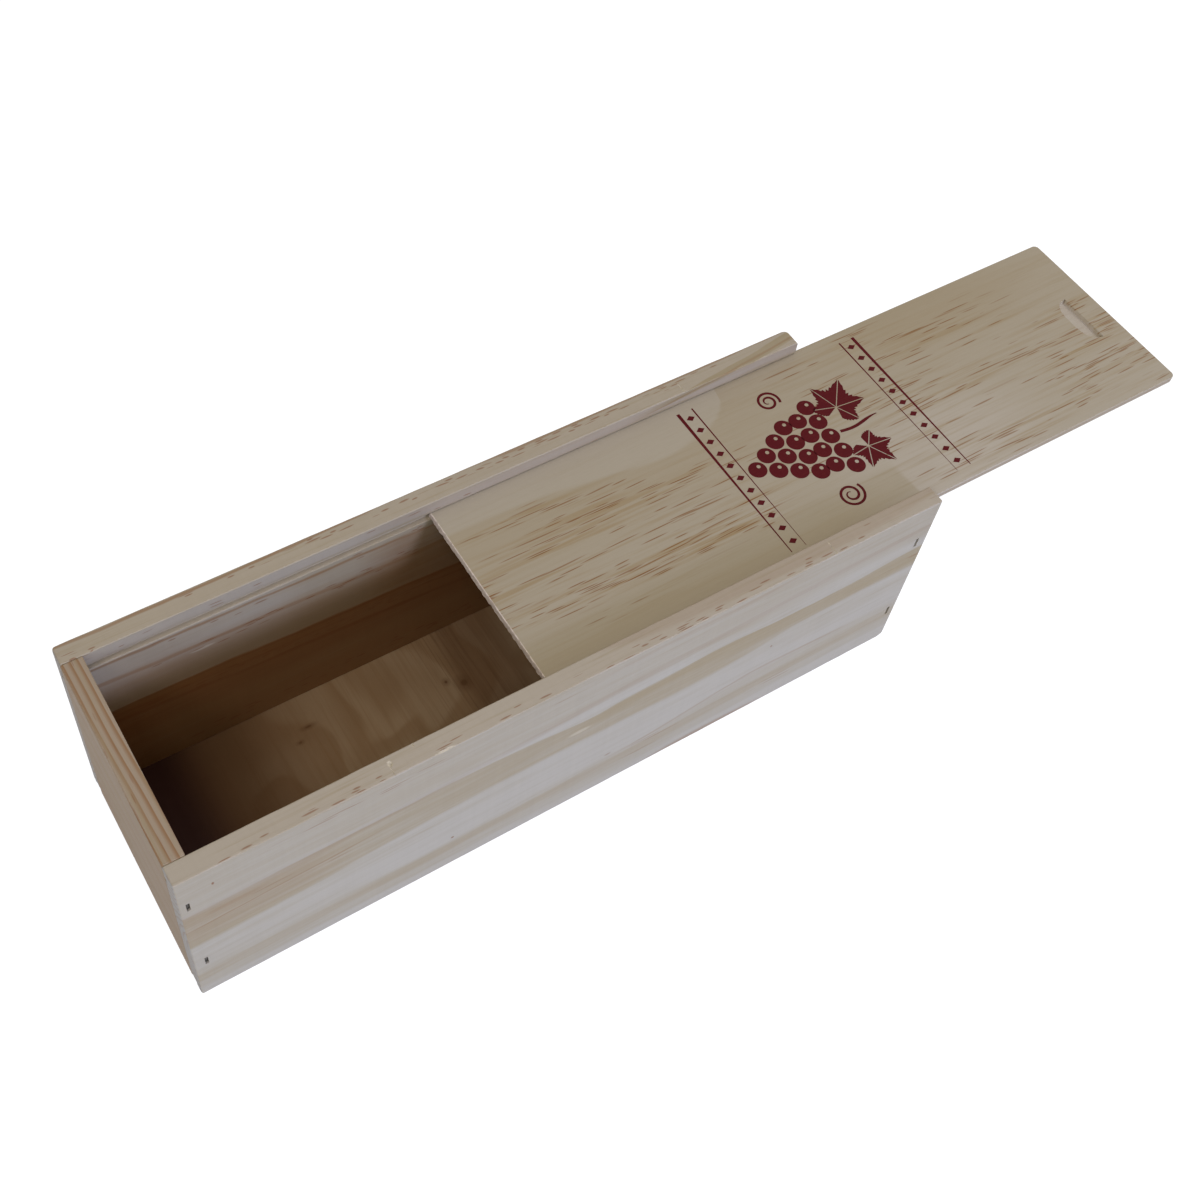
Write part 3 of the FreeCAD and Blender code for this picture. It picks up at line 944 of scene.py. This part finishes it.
def floor_veneer():
    """The bottom's veneer: grain across the box, curved figure, a dark band, small knots, and
    painted shadow towards the closed end.
    """
    own = settings().plywood
    finish = Finish("floor_veneer")
    x, y, z = finish.axes
    along = finish.plus(x, HALF_LENGTH)
    spot = finish.spot(along, y)
    bend = finish.noise((0.016, 0.01, 0.016), 2, 0.4, 0.2)
    late = finish.late_wood(finish.fit(bend, 7, finish.over(x, FLOOR_YEAR)), 0.1, 0.8, 0.84)
    finish.colour = own.floor
    finish.lay(own.floor_figure, late, 0.55)
    streaks = finish.noise((0.35, 0.012, 0.35), 3, 0.65)
    fibres = finish.noise((4.0, 0.12, 4.0), 2, 0.6)
    lines = finish.noise((0.9, 0.015, 0.9), 3, 0.7, 0.3)
    finish.lay(own.floor_figure, finish.rise(streaks, 0.45, 0.65), 0.28)
    finish.lay(own.floor_heart_and_shade, finish.rise(lines, 0.5, 0.66),
               finish.blot(spot, (166, 12, 0), (20, 70, 1), 0.5), 0.36)
    finish.shade(fibres, 0.16)
    finish.lay(own.floor_heart_and_shade, finish.blot(spot, (176, 20, 0), (15, 60, 1), 0.3), 0.5)
    for place_x, place_y, half_along, half_across in FLOOR_KNOTS:
        for size, strength in KNOT_RIMS:
            knot = finish.blot(spot, (place_x, place_y, 0),
                               (half_along * size, half_across * size, 1), 0.5)
            finish.lay(own.floor_heart_and_shade, knot, strength)
    # Painted shadow: the bottom's top face darkens towards the closed end, which shades it.
    upper = finish.rise(z, 1.5, 2.5)
    finish.lay(own.floor_heart_and_shade, finish.rise(along, 33, 123, 0.95, 0.0), upper)
    finish.lay(own.floor_painted_shadow, finish.fall(along, 24, 54), upper)
    finish.lay(own.core, finish.between(z, *FLOOR_CORE, 0.1, 0.1), 0.9)
    return finish.planed(streaks, fibres, 0.1)


def shaded_steel():
    """Galvanised wire, a little blotched, painted dark as the shade of crowns sunk in their holes.
    """
    own = settings().staples
    finish = Finish("galvanised_wire")
    blotches = finish.noise((1.2, 1.2, 1.2), 3, 0.6)
    dark = [channel * 0.6 for channel in own.shaded_steel]
    colour = finish.mix(finish.rise(blotches, 0.35, 0.7), own.shaded_steel, dark)
    sockets = finish.shader.inputs
    finish.feed(sockets["Base Color"], colour)
    finish.feed(sockets["Metallic"], 1.0)
    finish.feed(sockets["Roughness"], finish.rise(blotches, 0.3, 0.8, 0.3, 0.5))
    return finish.material


def ink():
    """Dark ink, thin where the grain of the veneer stands up."""
    own = settings().ornament
    finish = Finish("ink")
    fibres = finish.noise(VENEER_FIBRES, 2, 0.6)
    blotches = finish.noise((0.4, 0.9, 0.9), 3, 0.7)
    finish.colour = own.ink
    finish.lay(own.thin_ink, finish.rise(blotches, 0.5, 0.8), 0.3)
    finish.lay(own.thin_ink, finish.rise(fibres, 0.6, 0.85), 0.6)
    return finish.close(finish.rise(blotches, 0.3, 0.8, 0.6, 0.8), fibres, 0.08, 0.1)


# ------------------------------------------------------------------- pieces

class BOTTLEBOX_OT_boards(Operator):
    """Model the four pine boards over their parts"""
    bl_idname = "bottle_box.boards"
    bl_label = "Boards"

    def execute(self, context):
        for board in SIDE_BOARDS:
            self.board(board.node, "X", "pine_side", side_pine(board), board.outer)
        for node in END_BOARDS:
            self.board(node, "Y", "pine_end", end_pine(node))
        return {"FINISHED"}

    def board(self, node, axis, slot, material, outer=None):
        """One board, with worn edges, nicks and the holes of its staples."""
        own = settings().timber
        low, high = (corner[AXES.index(axis)] for corner in corners(node))
        sections = block_sections(end_outline(node, axis), low, high, own.arris / MM,
                                  own.step / MM, own.wear, END_GAPS if outer else ())
        piece = lofted(f"{node}_board", axis, sections)
        if outer:
            round_ends(piece.data.vertices, node, outer)
        nicks = [gouge_tool(gouge) for gouge in TOP_NICKS[node]]
        settled(piece, *nicks, *holes_through(node.split("_")[1]))
        dress(piece, "box", material, node)


class BOTTLEBOX_OT_bottom(Operator):
    """Model the plywood bottom over its part"""
    bl_idname = "bottle_box.bottom"
    bl_label = "Bottom"

    def execute(self, context):
        own = settings().plywood
        low, high = corners("bottom_panel")
        outline = divided(end_outline("bottom_panel", "Z"), 10 * own.step / MM)
        sections = block_sections(outline, low.z, high.z, own.arris / MM, step=0.8)
        piece = settled(lofted("bottom_sheet", "Z", sections), *holes_through("bottom"))
        dress(piece, "box", floor_veneer(), "bottom_panel")
        return {"FINISHED"}


NOTCH = namedtuple("Notch", "width reach shallow depth setback")(27.0, 8.0, 0.5, 1.5, 12.7)
NOTCH_STEPS = 28
NOTCH_BOW = 2.6
NOTCH_RINGS = ((0.8, -0.4), (0.0, 0.0), (None, 0.5))
BACK_TEAR = 0.25
WALL_TEAR = 0.15


def thumb_notch_tool():
    """The cutter of the thumb notch: a bowed back and a floor that falls to a steep wall.

    Each ring has its lift above the lid, or none at the notch's floor, and its inset.
    """
    straight = LID_HIGH.x - NOTCH.setback
    builder = bmesh.new()
    rings = []
    for lift, inset in NOTCH_RINGS:
        half = NOTCH.width / 2 - inset
        ring = []
        for i in range(NOTCH_STEPS + 1):
            share = 2 * i / NOTCH_STEPS - 1
            back = (NOTCH.reach - inset) * (1 - abs(share) ** NOTCH_BOW) ** (1 / NOTCH_BOW)
            torn = BACK_TEAR * noise.noise((share * 9, inset, 5))
            fall = (NOTCH.depth - NOTCH.shallow) * (1 - back / NOTCH.reach)
            drop = NOTCH.shallow + fall + torn
            ring.append(Vector((straight - back + torn, share * half,
                                LID_HIGH.z + (-drop if lift is None else lift))))
        for i in range(NOTCH_STEPS - 1, 0, -1):
            share = 2 * i / NOTCH_STEPS - 1
            torn = WALL_TEAR * noise.noise((share * 9, inset, 8))
            ring.append(Vector((straight - max(inset, 0) * NOTCH_BOW + torn, share * half,
                                LID_HIGH.z + (-NOTCH.depth if lift is None else lift))))
        rings.append([builder.verts.new(point * MM) for point in ring])
    skin(builder, rings)
    return new_piece("thumb_notch", builder)


FUZZ_WIDTH = 1.3
FUZZ_HEIGHT = 1.1


class BOTTLEBOX_OT_lid(Operator):
    """Model the plywood lid over its part"""
    bl_idname = "bottle_box.lid"
    bl_label = "Lid"

    def execute(self, context):
        own = settings().plywood
        arris = own.arris / MM
        outline = divided(end_outline("lid", "Z", high=False), own.step / MM)
        sections = block_sections(outline, LID_LOW.z, LID_HIGH.z, arris, step=0.6)
        piece = lofted("lid_panel", "Z", sections)
        for vertex in piece.data.vertices:
            place = vertex.co / MM
            if place.x < LID_LOW.x + arris + NEAR:
                rough = noise.noise((place.y / FUZZ_WIDTH, place.z / FUZZ_HEIGHT, 3)) + 0.5
                vertex.co.x += own.fuzz * max(0, rough)
        settled(piece, thumb_notch_tool())
        dress(piece, "lid", lid_veneer(), "lid")
        return {"FINISHED"}


class Print:
    """Flat inked shapes on the lid, drawn with up towards its outer end."""

    def __init__(self, middle, low, high):
        self.builder = bmesh.new()
        self.middle = middle
        self.low = low
        self.high = high

    def ring(self, level, points):
        """The corners of an outline at a level."""
        return [self.builder.verts.new(Vector((self.middle + up, -across, level)) * MM)
                for across, up in points]

    def plate(self, outline, hole=None):
        """A plate with an outline, and a hole that has as many points."""
        rings = [self.ring(self.low, outline), self.ring(self.high, outline)]
        if hole:
            rings += [self.ring(self.high, hole), self.ring(self.low, hole)]
        skin(self.builder, rings, bool(hole))

    def ribbon(self, path, width):
        """A strip along a path that tapers over its last third."""
        taper = 3 * (1 - TIP_WIDTH)
        rings = []
        for i, point in enumerate(path):
            way = (path[min(i + 1, len(path) - 1)] - path[max(i - 1, 0)]).normalized()
            part = i / (len(path) - 1)
            side = Vector((-way.y, way.x)) * width / 2 * min(1, TIP_WIDTH + (1 - part) * taper)
            left, right = point + side, point - side
            rings.append(self.ring(self.low, [left, right]) + self.ring(self.high, [right, left]))
        skin(self.builder, rings)

    def diamond(self, across, up):
        """A small diamond."""
        wide, tall = DIAMOND_HALVES
        self.plate([(across + wide, up), (across, up + tall),
                    (across - wide, up), (across, up - tall)])

    def grape(self, centre, radius):
        """A round grape with a light spot left bare."""
        shine = centre + Vector(SHINE_PLACE) * radius
        self.plate(circle(centre, radius), circle(shine, radius * SHINE_SIZE))

    def leaf(self, base, turn, size):
        """A vine leaf of five lobes, its veins left bare between the parts."""
        for (angle, length), (far_angle, far_length) in zip(LEAF_TIPS, LEAF_TIPS[1:]):
            half = math.radians(far_angle - angle) / 2
            middle = turn + math.radians(angle) + half
            start = base + VEIN / math.sin(half) * Vector((math.sin(middle), math.cos(middle)))
            bay = LEAF_BAY if length > LEAF_TIPS[0][1] < far_length else 0.0
            outline = [start]
            for i in range(LOBE_STEPS + 1):
                part = i / LOBE_STEPS
                tooth = LEAF_TOOTH * (-1) ** i * math.sin(math.pi * part)
                reach = length + (far_length - length) * part
                reach *= 1 - bay * math.sin(math.pi * part) ** 0.8 + tooth
                way = middle + half * (2 * part - 1)
                outline.append(start + size * reach * Vector((math.sin(way), math.cos(way))))
            self.plate(outline)


TIP_WIDTH = 0.25
SHINE_PLACE = (-0.3, 0.32)
SHINE_SIZE = 0.22
LOBE_STEPS = 12
LEAF_BAY = 0.36
LEAF_TOOTH = 0.05
VEIN = 0.22
LEAF_TIPS = [(-155, 0.4), (-112, 0.72), (-56, 0.95), (0, 1.08), (56, 0.95), (112, 0.72),
             (155, 0.4)]
BORDER_RULES = ((0, 1.6), (7.5, 0.7))
DIAMONDS_EACH_WAY = 5
DIAMOND_PITCH = 1 / 5.6
DIAMOND_INSET = 3.9
DIAMOND_HALVES = (1.5, 2.1)
BUNCH = (5, 4, 4, 3, 2, 1)
BUNCH_TOP = 4
GRAPE_PITCH = (2.16, 1.9)
STALK_POINTS = 16
STALK_SWAY = 0.8
STALK_PITCH = 1.4
Leaf = namedtuple("Leaf", "base turn size")
LEAVES = [Leaf((-12, 7), -50, 15), Leaf((12.5, 6), 62, 12)]
Curl = namedtuple("Curl", "centre radius start turns")
CURLS = [Curl((30, -8), 6.4, 120, -1.9), Curl((-29, -9), 5.6, 60, 1.8)]
CURL_POINTS = 60
CURL_CLOSING = 0.8
CURL_WIDTH = 0.8
CIRCLE_POINTS = 32


def circle(centre, radius):
    """The points of a circle."""
    turns = (2 * math.pi * i / CIRCLE_POINTS for i in range(CIRCLE_POINTS))
    return [centre + radius * heading(turn) for turn in turns]


def spiral(curl):
    """The points of a curl that winds inwards."""
    path = []
    for i in range(CURL_POINTS):
        part = i / (CURL_POINTS - 1)
        angle = math.radians(curl.start) + 2 * math.pi * curl.turns * part
        path.append(Vector(curl.centre) + curl.radius * (1 - CURL_CLOSING * part) * heading(angle))
    return path


class BOTTLEBOX_OT_ornament(Operator):
    """Print a bunch of grapes between ruled borders on the lid"""
    bl_idname = "bottle_box.ornament"
    bl_label = "Ornament"

    def execute(self, context):
        own = settings().ornament
        half_width, half_height = own.width / MM / 2, own.height / MM / 2
        radius, stroke = own.grape / MM, own.stroke / MM
        art = Print(LID_LOW.x + own.distance / MM, LID_HIGH.z - own.sunk / MM,
                    LID_HIGH.z + own.thickness / MM)
        for side in (-1, 1):
            for inset, width in BORDER_RULES:
                level = side * (half_height - inset)
                art.ribbon([Vector((across, level)) for across in (-half_width, half_width)], width)
            for i in range(-DIAMONDS_EACH_WAY, DIAMONDS_EACH_WAY + 1):
                art.diamond(i * half_width * DIAMOND_PITCH, side * (half_height - DIAMOND_INSET))
        for row, count in enumerate(BUNCH):
            for i in range(count):
                art.grape(Vector(((i - (count - 1) / 2) * radius * GRAPE_PITCH[0],
                                  BUNCH_TOP - row * radius * GRAPE_PITCH[1])), radius)
        top = Vector((0, BUNCH_TOP + radius * 1.3))
        art.ribbon([top + Vector((STALK_SWAY * math.sin(i / 3), i * STALK_PITCH))
                    for i in range(STALK_POINTS)], stroke)
        for leaf in LEAVES:
            art.leaf(top + Vector(leaf.base), math.radians(leaf.turn), leaf.size)
        for curl in CURLS:
            art.ribbon(spiral(curl), stroke * CURL_WIDTH)
        dress(settled(new_piece("lid_ornament", art.builder)), "lid", ink())
        return {"FINISHED"}


class BOTTLEBOX_OT_staples(Operator):
    """Model the wire staples over their parts"""
    bl_idname = "bottle_box.staples"
    bl_label = "Staples"

    def execute(self, context):
        own = settings().staples
        material = shaded_steel()
        for staple in STAPLES:
            outline = staple_outline(staple, own.point / MM)
            low, high = staple.low[staple.across], staple.high[staple.across]
            sections = block_sections(outline, low, high, own.rounding / MM, high - low)
            piece = settled(lofted(f"{staple.node}_wire", AXES[staple.across], sections))
            dress(piece, "box", material, staple.node)
        return {"FINISHED"}


CLIP_START = 0.01
LAMP_TARGET = Vector((0.05, 0, 0.06))
Lamp = namedtuple("Lamp", "name azimuth elevation size colour")
LAMPS = [
    Lamp("front", 278, 20.5, 0.35, (0.59, 0.68, 1.0)),
    Lamp("window", 235, 12, 0.5, (0.678, 0.817, 1.0)),
    Lamp("high", 215, 66, 0.3, (1.0, 0.96, 0.9)),
    Lamp("side", 212, 50, 0.4, (1.0, 0.92, 0.88)),
    Lamp("far", 0, 32, 0.8, (1.0, 0.98, 0.97)),
]
FLOOR_SIDES = 96
FLOOR_CUT = (HALF_LENGTH - 6, HALF_WIDTH - 1)
FLOOR_SHOWN = (0.28, 0.28, 0.28)
FLOOR_GLOW = (0.88, 0.89, 0.93)
FLOOR_PLAIN = (0.7, 0.7, 0.7)
WHITE = (1, 1, 1)


class BOTTLEBOX_OT_studio(Operator):
    """Set up the camera, the lamps, the floor and the surroundings"""
    bl_idname = "bottle_box.studio"
    bl_label = "Studio"

    def execute(self, context):
        own = settings().studio
        self.camera(own)
        for lamp in LAMPS:
            self.lamp(lamp, getattr(own, lamp.name), own.lamp_distance)
        self.floor(own.floor_radius)
        self.surroundings([own.ambient * channel for channel in own.sky])
        context.scene.view_settings.view_transform = "Standard"
        return {"FINISHED"}

    def camera(self, own):
        """The camera, set as the scene's own."""
        data = bpy.data.cameras.new("camera")
        data.lens = own.focal_length
        data.shift_x, data.shift_y = own.shift
        data.clip_start = CLIP_START
        camera = placed("camera", data)
        camera.location = own.camera_place
        camera.rotation_euler = own.camera_turn
        bpy.context.scene.camera = camera

    def lamp(self, lamp, power, distance):
        """A soft round lamp that faces the box, placed by its angles in degrees."""
        data = bpy.data.lights.new(lamp.name, "AREA")
        data.shape = "DISK"
        data.size = lamp.size
        data.energy = power
        data.color = lamp.colour
        turn, lift = math.radians(lamp.azimuth), math.radians(lamp.elevation)
        way = Vector((*(heading(turn) * math.cos(lift)), math.sin(lift)))
        light = placed(lamp.name, data)
        light.location = LAMP_TARGET + way * distance
        light.rotation_euler = way.to_track_quat("Z", "Y").to_euler()

    def floor(self, radius):
        """A white floor that keeps a soft shadow, cut out where the box covers it."""
        builder = bmesh.new()
        rims = [[], []]
        for i in range(FLOOR_SIDES):
            way = heading(2 * math.pi * i / FLOOR_SIDES).to_3d()
            inner = min(cut / max(abs(part), NEAR) for cut, part in zip(FLOOR_CUT, way))
            for rim, reach in zip(rims, (inner * MM, radius)):
                rim.append(builder.verts.new(way * reach))
        for i in range(FLOOR_SIDES):
            builder.faces.new((rims[0][i - 1], rims[0][i], rims[1][i], rims[1][i - 1]))
        floor = new_piece("floor", builder)
        material = bpy.data.materials.new("white_floor")
        wiring = Wiring(material)
        shown = wiring.node("ShaderNodeBsdfDiffuse", {"Color": FLOOR_SHOWN})
        glow = wiring.node("ShaderNodeEmission", {"Color": FLOOR_GLOW, "Strength": 1.0})
        both = wiring.node("ShaderNodeAddShader", {0: shown, 1: glow})
        plain = wiring.node("ShaderNodeBsdfDiffuse", {"Color": FLOOR_PLAIN})
        mixed = wiring.node("ShaderNodeMixShader", {0: wiring.seen(), 1: plain, 2: both})
        nodes = wiring.tree.nodes
        wiring.feed(nodes["Material Output"].inputs["Surface"], mixed)
        nodes.remove(nodes["Principled BSDF"])
        floor.data.materials.append(material)

    def surroundings(self, dim):
        """White where they are seen, and an even dim light to the box."""
        world = bpy.data.worlds.new("surroundings")
        bpy.context.scene.world = world
        wiring = Wiring(world)
        wiring.feed(wiring.tree.nodes["Background"].inputs["Color"],
                    wiring.mix(wiring.seen(), dim, WHITE))


OPERATORS = [
    BOTTLEBOX_OT_boards,
    BOTTLEBOX_OT_bottom,
    BOTTLEBOX_OT_lid,
    BOTTLEBOX_OT_ornament,
    BOTTLEBOX_OT_staples,
    BOTTLEBOX_OT_studio,
]


class BOTTLEBOX_PT_panel(Panel):
    """The box's settings and the steps that build it"""
    bl_label = "Bottle Box"
    bl_space_type = "VIEW_3D"
    bl_region_type = "UI"
    bl_category = "Bottle Box"

    def draw(self, context):
        for operator in OPERATORS:
            self.layout.operator(operator.bl_idname)
        for name in ("timber", "plywood", "ornament", "staples", "studio"):
            group = getattr(context.scene.bottle_box, name)
            box = self.layout.box()
            box.label(text=name.capitalize())
            for key in group.bl_rna.properties.keys():
                if key not in ("rna_type", "name"):
                    box.prop(group, key)


CLASSES = [TimberSettings, PlywoodSettings, OrnamentSettings, StapleSettings, StudioSettings,
           BottleBoxSettings, *OPERATORS, BOTTLEBOX_PT_panel]


def register():
    for cls in CLASSES:
        bpy.utils.register_class(cls)
    bpy.types.Scene.bottle_box = PointerProperty(type=BottleBoxSettings)


def unregister():
    del bpy.types.Scene.bottle_box
    for cls in reversed(CLASSES):
        bpy.utils.unregister_class(cls)


def main():
    """Build the whole scene."""
    register()
    for operator in OPERATORS:
        group, name = operator.bl_idname.split(".")
        getattr(getattr(bpy.ops, group), name)()


if __name__ == "__main__":
    main()
